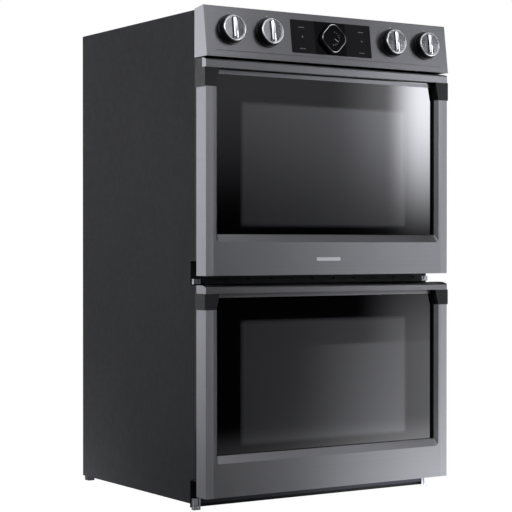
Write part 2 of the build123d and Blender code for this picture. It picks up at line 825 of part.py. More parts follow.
def make_fascia():
    """The leaning control face: a folded skin with a crease above its lip and cut-outs for the controls."""
    half = front_width / 2 - end_cap
    with BuildPart() as fascia:
        with BuildSketch(Plane.YZ.offset(-half)):
            fascia_profile(0)
        extrude(amount=2 * half)
        fillet(fascia.edges().filter_by(Axis.X).group_by(Axis.Z)[-1], 1.5)
        with BuildSketch(Plane.YZ.offset(-half - 1)):
            fascia_profile(plate)
        extrude(amount=2 * half + 2, mode=Mode.SUBTRACT)
        open_back = (flange_front - 30, flange_front + 2)
        span((-half - 1, half + 1), open_back, (fascia_bottom + 14, fascia_top - 18), Mode.SUBTRACT)
        crease = face_plane.offset(0.2)
        with BuildSketch(crease):
            with Locations((0, lip_height)):
                SlotOverall(2 * crease_half, 2.4)
        extrude(amount=-1.7, mode=Mode.SUBTRACT)
        with BuildSketch(face_plane.offset(5)):
            with Locations((0, (display_low + display_high) / 2)):
                RectangleRounded(2 * display_half_width, display_high - display_low, 3)
            for spot in knob_spots:
                with Locations((spot, knob_rise)):
                    Circle(8)
        extrude(amount=-12, mode=Mode.SUBTRACT)
    return fascia


def make_end_caps():
    """The light end caps that close the fascia's profile on each side."""
    half = front_width / 2
    with BuildPart() as caps:
        for side in (-1, 1):
            start = -half if side < 0 else half - end_cap
            with BuildSketch(Plane.YZ.offset(start)):
                fascia_profile(0)
            extrude(amount=end_cap)
    return caps


def make_display_glass():
    """The black glass panel, flush in the fascia, bored for the dial's spindle."""
    with BuildPart() as glass:
        with BuildSketch(face_plane.offset(-2.6)):
            with Locations((0, (display_low + display_high) / 2)):
                RectangleRounded(2 * display_half_width, display_high - display_low, 3)
            with Locations((0, dial_rise)):
                Circle(dial_shaft_radius + running_fit, mode=Mode.SUBTRACT)
        extrude(amount=3)
    return glass


def make_control_board():
    """The circuit board behind the display, with its transformer and relays, clear of the spindle."""
    with BuildPart() as board:
        with BuildSketch(face_plane.offset(-24)):
            with Locations((0, 62)):
                Rectangle(300, 80)
            with Locations((0, dial_rise)):
                Circle(12, mode=Mode.SUBTRACT)
        extrude(amount=-1.6)
        with BuildSketch(face_plane.offset(-25.6)):
            with Locations((-90, 62)):
                Rectangle(44, 38)
            with Locations((70, 50)):
                GridLocations(26, 30, 3, 2)
            with Locations((60, 45), (88, 45), (116, 45)):
                Rectangle(20, 16)
        extrude(amount=-10)
    return board


def make_knob_collars():
    """Black bezels round the knobs, bored for the knob shafts."""
    with BuildPart() as collars:
        with BuildSketch(face_plane):
            with Locations(*[(spot, knob_rise) for spot in knob_spots]):
                Circle(collar_radius)
        extrude(amount=collar_height)
        top_edges = collars.edges().filter_by(GeomType.CIRCLE).sort_by(lambda edge: edge.radius)
        rims = [edge for edge in top_edges if face_plane.to_local_coords(edge.center()).Z > 1]
        chamfer(rims, 1.5)
        with BuildSketch(face_plane.offset(-plate)):
            with Locations(*[(spot, knob_rise) for spot in knob_spots]):
                Circle(7.8)
        extrude(amount=plate)
        with BuildSketch(face_plane.offset(-plate - 1)):
            with Locations(*[(spot, knob_rise) for spot in knob_spots]):
                Circle(shaft_radius + running_fit)
        extrude(amount=collar_height + plate + 2, mode=Mode.SUBTRACT)
    return collars


def make_knob(spot):
    """A chromed knob: rim, sunk face, raised grip bar and its shaft."""
    base = collar_height + 0.4
    with BuildPart() as knob:
        with BuildSketch(face_plane.offset(base)):
            with Locations((spot, knob_rise)):
                Circle(knob_radius)
        extrude(amount=knob_height)
        rims = knob.edges().filter_by(GeomType.CIRCLE)
        chamfer([edge for edge in rims if face_plane.to_local_coords(edge.center()).Z > base + 1], 2.2)
        with BuildSketch(face_plane.offset(base + knob_height - 4)):
            with Locations((spot, knob_rise)):
                Circle(knob_radius - 5)
        extrude(amount=5, mode=Mode.SUBTRACT)
        with BuildSketch(face_plane.offset(base + knob_height - 4)):
            with Locations((spot, knob_rise)):
                SlotOverall(2 * knob_radius - 7, 13, rotation=90)
        extrude(amount=10, taper=8)
        with BuildSketch(face_plane.offset(-14)):
            with Locations((spot, knob_rise)):
                Circle(shaft_radius)
        extrude(amount=14 + base + 1)
    return knob


def make_dial_ring():
    """The four-sided rotary dial's body: a rounded diamond with a sunk well, on a spindle."""
    with BuildPart() as ring:
        with BuildSketch(face_plane.offset(0.8)):
            with Locations((0, dial_rise)):
                RectangleRounded(dial_side, dial_side, dial_corner, rotation=45)
        extrude(amount=dial_depth)
        with BuildSketch(face_plane.offset(0.8 + 4)):
            with Locations((0, dial_rise)):
                RectangleRounded(dial_side - 7, dial_side - 7, dial_corner - 3.5, rotation=45)
        extrude(amount=dial_depth, mode=Mode.SUBTRACT)
        with BuildSketch(face_plane.offset(-18)):
            with Locations((0, dial_rise)):
                Circle(dial_shaft_radius)
        extrude(amount=18 + 0.8 + 1)
    return ring


def make_dial_button():
    """The dial's pressed centre, a shallow dished cap."""
    with BuildPart() as button:
        with BuildSketch(face_plane.offset(0.8 + 4 + 1.8)):
            with Locations((0, dial_rise)):
                RectangleRounded(dial_side - 8, dial_side - 8, dial_corner - 4, rotation=45)
        extrude(amount=5.4)
    return button


# ---------------------------------------------------------------- cooling, wiring box, trims and feet
def make_blower_housing():
    """The cooling blower's scroll: a round case with an eye on top and a forward duct."""
    with BuildPart() as housing:
        with BuildSketch(Plane.XY.offset(blower_floor)):
            with Locations((blower_x, blower_y)):
                Circle(92)
            with Locations((blower_x + 56, blower_y - 90)):
                Rectangle(72, 180)
        extrude(amount=70)
        with BuildSketch(Plane.XY.offset(blower_floor + sheet)):
            with Locations((blower_x, blower_y)):
                Circle(92 - sheet)
            with Locations((blower_x + 56, blower_y - 90 - sheet)):
                Rectangle(72 - 2 * sheet, 180)
        extrude(amount=70 - 2 * sheet, mode=Mode.SUBTRACT)
        with BuildSketch(Plane.XY.offset(blower_floor + 60)):
            with Locations((blower_x, blower_y)):
                Circle(52)
        extrude(amount=20, mode=Mode.SUBTRACT)
    return housing


def make_blower_wheel():
    """The squirrel-cage wheel inside the scroll."""
    with BuildPart() as wheel:
        with BuildSketch(Plane.XY.offset(blower_floor + 10)):
            with Locations((blower_x, blower_y)):
                Circle(62)
        extrude(amount=1.5)
        with BuildSketch(Plane.XY.offset(blower_floor + 11)):
            with Locations((blower_x, blower_y)):
                with PolarLocations(55.5, 28):
                    Rectangle(10, 1.2)
        extrude(amount=44)
        with BuildSketch(Plane.XY.offset(blower_floor + 54)):
            with Locations((blower_x, blower_y)):
                Circle(62)
                Circle(49, mode=Mode.SUBTRACT)
        extrude(amount=1.5)
        with BuildSketch(Plane.XY.offset(blower_floor + 3)):
            with Locations((blower_x, blower_y)):
                Circle(8)
        extrude(amount=24)
    return wheel


def make_junction_box():
    """The supply's terminal box inside the back sheet, with a bushed conduit inlet and no cord."""
    half = 45.0
    with BuildPart() as box:
        box_y = (cabinet_back - 52, cabinet_back - sheet)
        span((conduit_x - half, conduit_x + half), box_y, (conduit_z - 34, conduit_z + 34))
        hollow_y = (cabinet_back - 52 + sheet, cabinet_back)
        hollow_x = (conduit_x - half + sheet, conduit_x + half - sheet)
        span(hollow_x, hollow_y, (conduit_z - 34 + sheet, conduit_z + 34 - sheet), Mode.SUBTRACT)
        block_y = (cabinet_back - 40, cabinet_back - 36)
        span((conduit_x - 20, conduit_x + 20), block_y, (conduit_z - 34, conduit_z + 8))
    return box


def make_vent_trims():
    """Black louvred strips at the back of each door's trough."""
    half = flange_width / 2 - 25
    with BuildPart() as trims:
        for door in doors.values():
            trim_front = door_front + 74
            low = door["bottom"] - 22
            if low < cabinet_bottom:
                low = cabinet_bottom + 1
            arm_low = door["bottom"] + hinge_rise - 9
            span((-half, half), (trim_front, trough_front), (low, arm_low))
            with BuildSketch(Plane.XZ.offset(-trim_front)):
                with Locations((0, (low + arm_low) / 2)):
                    with GridLocations(66, 9, 10, 3):
                        SlotOverall(54, 4)
            extrude(amount=-6, mode=Mode.SUBTRACT)
    return trims


def make_front_brackets():
    """Zinc angles at the trough ends: feet at the cabinet's front corners, tabs between the doors."""
    inner = flange_width / 2 - 23
    outer = flange_width / 2 - 3
    front = trough_front - 11
    with BuildPart() as brackets:
        for side in (-1, 1):
            for low, high in ((0, 29), (lower_door_bottom + 524, lower_door_bottom + 537)):
                span((side * inner, side * outer), (front, front + 2), (low, high))
                span((side * (outer - 2), side * outer), (front, trough_front), (low, high))
                span((side * inner, side * outer), (front, trough_front), (low, low + 2))
                notch = (side * (inner + 5), side * (inner + 7.5))
                span(notch, (front - 1, front + 2), (low + 5, high + 1), Mode.SUBTRACT)
    return brackets


def make_rear_feet():
    """Black pads under the cabinet's back corners."""
    with BuildPart() as feet:
        for side in (-1, 1):
            with BuildSketch(Plane.XY):
                with Locations((side * (cabinet_width / 2 - 12), cabinet_back - 18)):
                    RectangleRounded(20, 26, 4)
            extrude(amount=foot_height)
    return feet


# ---------------------------------------------------------------- build every piece
save(make_side_panel(-1), "side_panel_left")
save(make_side_panel(1), "side_panel_right")
save(make_top_cover(), "top_cover")
save(make_rear_panel(), "rear_panel")
save(make_panel_screws(), "panel_screws")
save(make_base_pan(), "base_pan")
save(make_front_frame(), "front_frame")
save(make_insulation(), "insulation_wraps")
save(make_gaskets(), "door_gaskets")
save(make_rack_guides(), "rack_guides")
save(make_heating_elements(), "heating_elements")
save(make_fan_covers(), "fan_covers")
save(make_fan_motors(), "fan_motors")
save(make_oven_lamps(), "oven_lamps")
save(make_sensors(), "temperature_sensors")
save(make_hinge_receivers(), "hinge_receivers")
save(make_fascia(), "control_fascia")
save(make_end_caps(), "fascia_end_caps")
save(make_display_glass(), "display_glass")
save(make_control_board(), "control_board")
save(make_knob_collars(), "knob_collars")
save(make_dial_ring(), "dial_ring")
save(make_dial_button(), "dial_button")
save(make_blower_housing(), "blower_housing")
save(make_blower_wheel(), "blower_wheel")
save(make_junction_box(), "junction_box")
save(make_vent_trims(), "vent_trims")
save(make_front_brackets(), "front_brackets")
save(make_rear_feet(), "rear_feet")
save(make_badge(), "badge")
for number, knob_spot in enumerate(knob_spots, start=1):
    save(make_knob(knob_spot), f"knob_{number}")
for level_name, level_door in doors.items():
    save(make_cavity(level_door), f"{level_name}_cavity")
    save(make_rack(level_door), f"{level_name}_rack")
    save(make_fan(level_door), f"{level_name}_fan")
    save(make_door_frame(level_door), f"{level_name}_door_frame")
    save(make_door_surround(level_door), f"{level_name}_door_surround")
    save(make_door_glass(level_door), f"{level_name}_door_glass")
    save(make_door_liner(level_door), f"{level_name}_door_liner")
    save(make_inner_glass(level_door), f"{level_name}_inner_glass")
    save(make_handle_rail(level_door), f"{level_name}_handle_rail")
    save(make_handle_ends(level_door), f"{level_name}_handle_ends")
    save(make_hinge_arms(level_door), f"{level_name}_hinge_arms")
    save(make_latch(level_door), f"{level_name}_latch")
    save(make_plunger(level_door), f"{level_name}_door_plunger")
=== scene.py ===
"""The double wall oven's looks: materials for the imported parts, detailed controls, plain studio, camera."""
import json
import math

import bmesh
import bpy
from mathutils import Matrix, Vector


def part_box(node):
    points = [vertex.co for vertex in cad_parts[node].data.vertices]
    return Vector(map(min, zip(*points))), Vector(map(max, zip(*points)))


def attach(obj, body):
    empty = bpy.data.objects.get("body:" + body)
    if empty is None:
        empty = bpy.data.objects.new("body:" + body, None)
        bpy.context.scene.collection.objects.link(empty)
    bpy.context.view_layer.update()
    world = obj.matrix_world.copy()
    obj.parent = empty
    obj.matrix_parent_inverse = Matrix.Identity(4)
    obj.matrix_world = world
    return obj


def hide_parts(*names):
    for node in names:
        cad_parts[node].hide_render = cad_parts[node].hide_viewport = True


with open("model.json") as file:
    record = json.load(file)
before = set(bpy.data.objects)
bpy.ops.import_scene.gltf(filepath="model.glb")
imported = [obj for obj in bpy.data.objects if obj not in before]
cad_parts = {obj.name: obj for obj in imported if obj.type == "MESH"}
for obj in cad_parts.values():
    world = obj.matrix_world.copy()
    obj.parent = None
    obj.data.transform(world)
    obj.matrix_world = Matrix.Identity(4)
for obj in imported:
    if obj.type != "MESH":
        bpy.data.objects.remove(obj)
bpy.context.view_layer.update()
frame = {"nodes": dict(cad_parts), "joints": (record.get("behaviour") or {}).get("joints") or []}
nodes = frame["nodes"]
joints = {joint["name"]: joint for joint in frame["joints"]}
MM = 0.001
STILE_INNER = 0.3565


# ---------------------------------------------------------------- node helpers
class Surface:
    """A material whose principled shader is fed by a few procedural nodes."""

    def __init__(self, name, color, roughness, metallic=0.0, **fixed):
        self.material = bpy.data.materials.new(name)
        self.material.use_nodes = True
        self.tree = self.material.node_tree
        self.shader = self.tree.nodes["Principled BSDF"]
        self.shader.inputs["Base Color"].default_value = (*color, 1)
        self.shader.inputs["Roughness"].default_value = roughness
        self.shader.inputs["Metallic"].default_value = metallic
        for key, value in fixed.items():
            self.shader.inputs[key.replace("_", " ")].default_value = value

    def node(self, kind, **settings):
        made = self.tree.nodes.new(kind)
        for key, value in settings.items():
            setattr(made, key, value)
        return made

    def link(self, start, end):
        self.tree.links.new(start, end)

    def coords(self, scale=(1, 1, 1), shift=(0, 0, 0)):
        """Object coordinates, which are metres in the shared frame, stretched by scale."""
        source = self.node("ShaderNodeTexCoord")
        mapping = self.node("ShaderNodeMapping")
        mapping.inputs["Scale"].default_value = scale
        mapping.inputs["Location"].default_value = shift
        self.link(source.outputs["Object"], mapping.inputs["Vector"])
        return mapping.outputs["Vector"]

    def noise(self, scale, detail=3, stretch=(1, 1, 1), rough=0.5):
        made = self.node("ShaderNodeTexNoise")
        made.inputs["Scale"].default_value = scale
        made.inputs["Detail"].default_value = detail
        made.inputs["Roughness"].default_value = rough
        self.link(self.coords(stretch), made.inputs["Vector"])
        return made.outputs["Fac"]

    def voronoi(self, scale, feature="F1", output="Distance", stretch=(1, 1, 1)):
        made = self.node("ShaderNodeTexVoronoi", feature=feature)
        made.inputs["Scale"].default_value = scale
        self.link(self.coords(stretch), made.inputs["Vector"])
        return made.outputs[output]

    def math(self, operation, first, second=0.0, clamp=False):
        made = self.node("ShaderNodeMath", operation=operation, use_clamp=clamp)
        for socket, value in zip(made.inputs, (first, second)):
            if isinstance(value, (int, float)):
                socket.default_value = value
            else:
                self.link(value, socket)
        return made.outputs[0]

    def spread(self, value, low, high, start=0.3, end=0.7):
        """Maps value from start..end to low..high."""
        made = self.node("ShaderNodeMapRange")
        self.link(value, made.inputs["Value"])
        for key, number in (("From Min", start), ("From Max", end), ("To Min", low), ("To Max", high)):
            made.inputs[key].default_value = number
        return made.outputs["Result"]

    def blend(self, factor, first, second):
        """A colour between first and second."""
        made = self.node("ShaderNodeMix", data_type="RGBA")
        self.link(factor, made.inputs["Factor"])
        for key, value in (("A", first), ("B", second)):
            socket = [s for s in made.inputs if s.name == key and s.type == "RGBA"][0]
            if isinstance(value, tuple):
                socket.default_value = (*value, 1)
            else:
                self.link(value, socket)
        return [s for s in made.outputs if s.type == "RGBA"][0]

    def color(self, socket):
        self.link(socket, self.shader.inputs["Base Color"])

    def rough(self, socket):
        self.link(socket, self.shader.inputs["Roughness"])

    def metal(self, socket):
        self.link(socket, self.shader.inputs["Metallic"])

    def bump(self, height, strength, distance):
        made = self.node("ShaderNodeBump")
        made.inputs["Strength"].default_value = strength
        made.inputs["Distance"].default_value = distance
        self.link(height, made.inputs["Height"])
        self.link(made.outputs["Normal"], self.shader.inputs["Normal"])

    def box_mask(self, low, high, soft):
        """1 inside an upright rectangle in X and Z, fading to 0 over soft metres at its edges."""
        split = self.node("ShaderNodeSeparateXYZ")
        self.link(self.coords(), split.inputs[0])
        mask = None
        for axis, a, b in (("X", low[0], high[0]), ("Z", low[1], high[1])):
            value = split.outputs[axis]
            rising = self.spread(value, 0, 1, a - soft, a + soft)
            falling = self.spread(value, 1, 0, b - soft, b + soft)
            both = self.math("MULTIPLY", rising, falling)
            mask = both if mask is None else self.math("MULTIPLY", mask, both)
        return mask


# ---------------------------------------------------------------- materials
def brushed(name, dark, light, roughness, across=(1.5, 1.5, 900), stile=None):
    """Brushed metal: fine streaks along the face, faint cloudy tone and a stretched highlight.

    Beyond the half-width stile the grain runs upright and blurs more, and the colour is made up to a quarter paler: a
    painted highlight standing in for the extra light the stiles catch."""
    made = Surface(name, light, roughness, 1.0, Anisotropic=0.5, Anisotropic_Rotation=0.25)
    streak = made.noise(1.0, 3, across, 0.6)
    spread_low, spread_high = roughness - 0.025, roughness + 0.03
    rough = made.spread(streak, spread_low, spread_high)
    clouds = made.noise(5.0, 2)
    tone = made.math("ADD", made.math("MULTIPLY", streak, 0.6), made.math("MULTIPLY", clouds, 0.4))
    shade = made.blend(made.spread(tone, 0, 1), dark, light)
    if stile:
        rails = made.box_mask((-stile, -10), (stile, 10), 0.0005)
        upright = made.noise(1.0, 3, (900, 1.5, 1.5), 0.6)
        # Painted highlight: the stiles' colour runs up to a quarter paler than the rails, standing in for the extra
        # light they catch.
        paler_painted_light = tuple(channel * 1.25 for channel in light)
        shade = made.blend(rails, made.blend(made.spread(upright, 0, 1), light, paler_painted_light), shade)
        difference = made.math("SUBTRACT", 1.0, rails)
        rough = made.math("ADD", rough, made.math("MULTIPLY", difference, 0.1))
    made.color(shade)
    made.rough(rough)
    made.bump(streak, 0.02, 0.0001)
    return made.material


def powder_coat(name, color, roughness, gloss, edge=None, edge_color=None):
    """Sprayed paint: fine orange peel and a faint uneven tone; beyond the half-width edge, a second colour."""
    made = Surface(name, color, roughness, 0.0, Specular_IOR_Level=gloss)
    clouds = made.noise(2.2, 3)
    brighter = tuple(min(1, channel * 1.12) for channel in color)
    darker = tuple(channel * 0.92 for channel in color)
    shade = made.blend(made.spread(clouds, 0, 1), darker, brighter)
    if edge:
        core = made.box_mask((-edge, -10), (edge, 10), 0.0005)
        foot = made.box_mask((-10, -10), (10, 0.2), 0.0005)
        shade = made.blend(made.math("MAXIMUM", core, foot), edge_color, shade)
    made.color(shade)
    peel = made.noise(900, 2)
    made.rough(made.spread(made.noise(60, 3), roughness - 0.05, roughness + 0.06))
    made.bump(peel, 0.25, 0.0002)
    return made.material


def galvanised(name, color):
    """Zinc-coated sheet: crystal spangle, dull patches and light scuffs."""
    made = Surface(name, color, 0.45, 0.9)
    spangle = made.voronoi(150, output="Color")
    split = made.node("ShaderNodeSeparateColor")
    made.link(spangle, split.inputs[0])
    dull = tuple(channel * 0.8 for channel in color)
    made.color(made.blend(made.spread(split.outputs[0], 0, 1, 0, 1), dull, color))
    made.rough(made.spread(split.outputs[1], 0.32, 0.55, 0, 1))
    made.bump(made.noise(400, 3, (1, 1, 0.1)), 0.03, 0.0001)
    return made.material


def moulded(name, color, roughness, grain=1500.0, gloss=0.5):
    """Moulded plastic: a fine spark-eroded texture and slight sheen changes."""
    made = Surface(name, color, roughness, 0.0, Specular_IOR_Level=gloss)
    lighter = tuple(min(1, channel * 1.3 + 0.002) for channel in color)
    made.color(made.blend(made.spread(made.noise(9, 2), 0, 1), color, lighter))
    made.rough(made.spread(made.noise(120, 3), roughness - 0.06, roughness + 0.06))
    made.bump(made.noise(grain, 2), 0.2, 0.0001)
    return made.material


def polished(name, color, roughness=0.08):
    """Chromed metal with faint hazing and hairlines."""
    made = Surface(name, color, roughness, 1.0)
    haze = made.noise(45, 4)
    made.color(made.blend(made.spread(haze, 0, 1), tuple(c * 0.9 for c in color), color))
    made.rough(made.spread(haze, roughness * 0.7, roughness * 1.6))
    made.bump(made.noise(700, 2, (1, 1, 3)), 0.03, 0.0001)
    return made.material


def enamel(name):
    """Dark vitreous enamel with pale speckles and a glassy skin."""
    made = Surface(name, (0.012, 0.014, 0.022), 0.18, 0.0, Coat_Weight=0.4)
    specks = made.spread(made.voronoi(420), 1, 0, 0.1, 0.22)
    patchy = made.spread(made.noise(150, 2), 0, 1, 0.45, 0.6)
    fleck = made.math("MULTIPLY", specks, patchy, True)
    made.color(made.blend(fleck, (0.012, 0.014, 0.022), (0.24, 0.26, 0.32)))
    made.rough(made.spread(made.noise(25, 3), 0.14, 0.3))
    made.bump(made.noise(260, 2), 0.12, 0.0003)
    return made.material


def door_pane(name, window_low, window_high, tone):
    """The outer pane: a black printed border round a window whose metallic film blurs what it reflects."""
    made = Surface(
        name, (0.003, 0.003, 0.004), 0.3, 0.0, Specular_IOR_Level=0.0, Coat_Weight=1.0, Coat_Roughness=0.03,
        Coat_IOR=1.85,
    )
    film = made.box_mask(window_low, window_high, 0.006)
    made.color(made.blend(film, (0.002, 0.002, 0.0025), (tone, tone, tone * 1.04)))
    made.metal(made.math("MULTIPLY", film, 0.9))
    smears = made.noise(3.5, 4, (1, 1, 0.5))
    made.rough(made.spread(smears, 0.29, 0.35))
    return made.material


def display_pane(name):
    """Black control glass, with a deeper black centre field."""
    made = Surface(name, (0.003, 0.003, 0.004), 0.06, 0.0, Specular_IOR_Level=0.16)
    field = made.box_mask((-0.052, -10), (0.045, 10), 0.003)
    made.color(made.blend(field, (0.016, 0.016, 0.018), (0.002, 0.002, 0.0025)))
    made.rough(made.spread(made.noise(12, 3), 0.04, 0.10))
    made.bump(made.noise(2, 1), 0.02, 0.001)
    return made.material


def clear_glass(name, color, alpha, roughness=0.04):
    """Thin glass with a faint film."""
    made = Surface(name, color, roughness, 0.0, Alpha=alpha, IOR=1.5)
    made.rough(made.spread(made.noise(18, 4), roughness, roughness + 0.08))
    made.color(made.blend(made.spread(made.noise(6, 2), 0, 1), color, tuple(c * 1.2 for c in color)))
    return made.material


def woven(name, color):
    """A braided glass-fibre tube: crossing strands and fuzz."""
    made = Surface(name, color, 0.85, 0.0, Sheen_Weight=0.3)
    first = made.noise(1.0, 1, (900, 300, 900))
    cells = made.voronoi(620)
    lighter = tuple(c * 2.4 for c in color)
    made.color(made.blend(made.spread(cells, 0, 1, 0.1, 0.6), lighter, color))
    made.rough(made.spread(first, 0.75, 0.95))
    made.bump(cells, 0.9, 0.0008)
    return made.material


def wool(name):
    """Mineral wool: long fibres in two yellows."""
    made = Surface(name, (0.5, 0.42, 0.22), 0.95)
    fibre = made.noise(1.0, 5, (60, 700, 160), 0.7)
    made.color(made.blend(made.spread(fibre, 0, 1), (0.36, 0.29, 0.13), (0.66, 0.58, 0.36)))
    made.rough(made.spread(fibre, 0.85, 1.0))
    made.bump(fibre, 0.9, 0.003)
    return made.material


def circuit(name):
    """A circuit board: green mask with copper tracks."""
    made = Surface(name, (0.01, 0.07, 0.03), 0.4)
    tracks = made.node("ShaderNodeTexBrick")
    made.link(made.coords((90, 90, 90)), tracks.inputs["Vector"])
    tracks.inputs["Color1"].default_value = (0.008, 0.06, 0.025, 1)
    tracks.inputs["Color2"].default_value = (0.012, 0.08, 0.035, 1)
    tracks.inputs["Mortar"].default_value = (0.09, 0.16, 0.06, 1)
    made.color(tracks.outputs["Color"])
    made.rough(made.spread(made.noise(80, 2), 0.3, 0.5))
    return made.material


def oxidised(name):
    """A heater's steel sheath, browned unevenly."""
    made = Surface(name, (0.06, 0.05, 0.045), 0.5, 0.8)
    patches = made.noise(28, 4)
    made.color(made.blend(made.spread(patches, 0, 1), (0.03, 0.028, 0.028), (0.13, 0.10, 0.08)))
    made.rough(made.spread(patches, 0.4, 0.62))
    made.bump(made.noise(500, 2), 0.2, 0.0002)
    return made.material


def spun(name, dark, light, roughness):
    """A turned metal disc: rings about the piece's own axis and a fan-shaped highlight."""
    made = Surface(name, light, roughness, 1.0, Anisotropic=0.85)
    radial = made.node("ShaderNodeTangent", direction_type="RADIAL", axis="Z")
    made.link(radial.outputs[0], made.shader.inputs["Tangent"])
    rings = made.node("ShaderNodeTexWave", wave_type="RINGS", rings_direction="Z")
    rings.inputs["Scale"].default_value = 420
    rings.inputs["Distortion"].default_value = 1.5
    made.link(made.coords(), rings.inputs["Vector"])
    made.color(made.blend(rings.outputs["Fac"], dark, light))
    made.rough(made.spread(rings.outputs["Fac"], roughness - 0.04, roughness + 0.05, 0, 1))
    made.bump(rings.outputs["Fac"], 0.12, 0.0001)
    return made.material


def printed(name, value):
    """Pale ink: slightly uneven, matte."""
    made = Surface(name, (value, value, value), 0.5)
    uneven = made.spread(made.noise(900, 2), 0, 1)
    made.color(made.blend(uneven, (value * 0.86,) * 3, (value, value, value)))
    made.rough(made.spread(made.noise(300, 2), 0.4, 0.6))
    return made.material


fascia_steel = brushed("black_stainless", (0.185, 0.185, 0.191), (0.215, 0.215, 0.222), 0.30)
door_steel = brushed("door_stainless", (0.25, 0.25, 0.257), (0.295, 0.295, 0.303), 0.38, stile=STILE_INNER)
rail_steel = brushed("rail_stainless", (0.20, 0.20, 0.206), (0.24, 0.24, 0.247), 0.35)
badge_metal = brushed("badge_metal", (0.62, 0.62, 0.63), (0.70, 0.70, 0.71), 0.4)
cap_metal = brushed("end_cap_metal", (0.23, 0.23, 0.237), (0.27, 0.27, 0.277), 0.38, (900, 1.5, 1.5))
cabinet_paint = powder_coat("cabinet_paint", (0.034, 0.0345, 0.037), 0.7, 0.15)
frame_black = powder_coat(
    "frame_black", (0.004, 0.004, 0.0045), 0.5, 0.2, edge=0.352, edge_color=(0.034, 0.0345, 0.037)
)
louvre_plastic = moulded("louvre_plastic", (0.005, 0.006, 0.016), 0.4)
bright_trim = polished("bright_trim", (0.93, 0.93, 0.94), 0.28)
zinc_sheet = galvanised("galvanised_sheet", (0.50, 0.51, 0.52))
zinc = galvanised("zinc", (0.66, 0.67, 0.69))
block_plastic = moulded("block_plastic", (0.014, 0.014, 0.015), 0.42, 1500, 0.3)
black_plastic = moulded("black_plastic", (0.005, 0.005, 0.006), 0.35)
black_rubber = moulded("rubber_black", (0.012, 0.012, 0.012), 0.7, 700)
vitreous = enamel("enamel")
control_glass = display_pane("display_glass")
inner_glass = clear_glass("inner_glass", (0.05, 0.05, 0.055), 0.72)
lamp_glass = clear_glass("lamp_glass", (0.8, 0.8, 0.75), 0.6, 0.12)
gasket_weave = woven("gasket_weave", (0.03, 0.03, 0.03))
mineral_wool = wool("wool")
board_green = circuit("board")
sheath = oxidised("element_metal")
motor_metal = brushed("motor_metal", (0.28, 0.28, 0.28), (0.42, 0.42, 0.42), 0.35, (60, 900, 60))
chrome = polished("chrome", (0.82, 0.82, 0.84))
rack_chrome = polished("rack_chrome", (0.62, 0.62, 0.64), 0.16)
knob_face = spun("knob_face", (0.10, 0.10, 0.105), (0.34, 0.34, 0.35), 0.20)
ink = printed("ink", 0.75)
dim_ink = printed("dim_ink", 0.32)


def paint(node, material):
    """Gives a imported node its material."""
    slots = nodes[node].data.materials
    slots.clear()
    slots.append(material)


node_materials = {
    "side_panel_left": cabinet_paint,
    "side_panel_right": cabinet_paint,
    "top_cover": zinc_sheet,
    "rear_panel": zinc_sheet,
    "base_pan": zinc_sheet,
    "panel_screws": zinc,
    "front_frame": frame_black,
    "insulation_wraps": mineral_wool,
    "door_gaskets": gasket_weave,
    "rack_guides": rack_chrome,
    "heating_elements": sheath,
    "fan_covers": vitreous,
    "fan_motors": motor_metal,
    "oven_lamps": lamp_glass,
    "temperature_sensors": motor_metal,
    "hinge_receivers": zinc,
    "control_fascia": fascia_steel,
    "fascia_end_caps": cap_metal,
    "display_glass": control_glass,
    "control_board": board_green,
    "knob_collars": black_plastic,
    "blower_housing": zinc_sheet,
    "blower_wheel": zinc_sheet,
    "junction_box": zinc_sheet,
    "vent_trims": louvre_plastic,
    "front_brackets": zinc,
    "rear_feet": black_rubber,
    "badge": badge_metal,
}
for level in ("upper", "lower"):
    node_materials.update({
        f"{level}_cavity": vitreous,
        f"{level}_rack": rack_chrome,
        f"{level}_fan": motor_metal,
        f"{level}_door_frame": door_steel,
        f"{level}_door_surround": black_plastic,
        f"{level}_door_liner": vitreous,
        f"{level}_inner_glass": inner_glass,
        f"{level}_handle_rail": rail_steel,
        f"{level}_handle_ends": block_plastic,
        f"{level}_hinge_arms": zinc,
        f"{level}_latch": zinc,
        f"{level}_door_plunger": black_plastic,
    })
    low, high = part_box(f"{level}_inner_glass")
    # Painted reflection: the lower window's film gets a lighter, more reflective tone (0.08 against 0.063) to stand
    # in for the brighter light it reflects.
    tone = 0.063 if level == "upper" else 0.08
    node_materials[f"{level}_door_glass"] = door_pane(
        f"{level}_door_glass", (low.x - 0.005, low.z), (high.x - 0.008, high.z), tone
    )
for node_name, node_material in node_materials.items():
    paint(node_name, node_material)


# ---------------------------------------------------------------- mesh helpers
def place(joint_name):
    """The frame of a control on the leaning face: Z along the joint's axis, Y up the face."""
    joint = joints[joint_name]
    out = Vector(joint["axis"]).normalized()
    across = Vector((1, 0, 0))
    up = out.cross(across)
    turn = Matrix((across, up, out)).transposed().to_4x4()
    return Matrix.Translation(Vector(joint["pos_m"])) @ turn


def finish_mesh(name, mesh, matrix, material, body, smooth=30):
    """Closes a bmesh into an object that rides on a body."""
    data = bpy.data.meshes.new(name)
    bmesh.ops.recalc_face_normals(mesh, faces=mesh.faces)
    mesh.to_mesh(data)
    mesh.free()
    piece = bpy.data.objects.new(name, data)
    bpy.context.scene.collection.objects.link(piece)
    piece.matrix_world = matrix
    data.materials.append(material)
    data.shade_smooth()
    data.set_sharp_from_angle(angle=math.radians(smooth))
    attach(piece, body)
    return piece


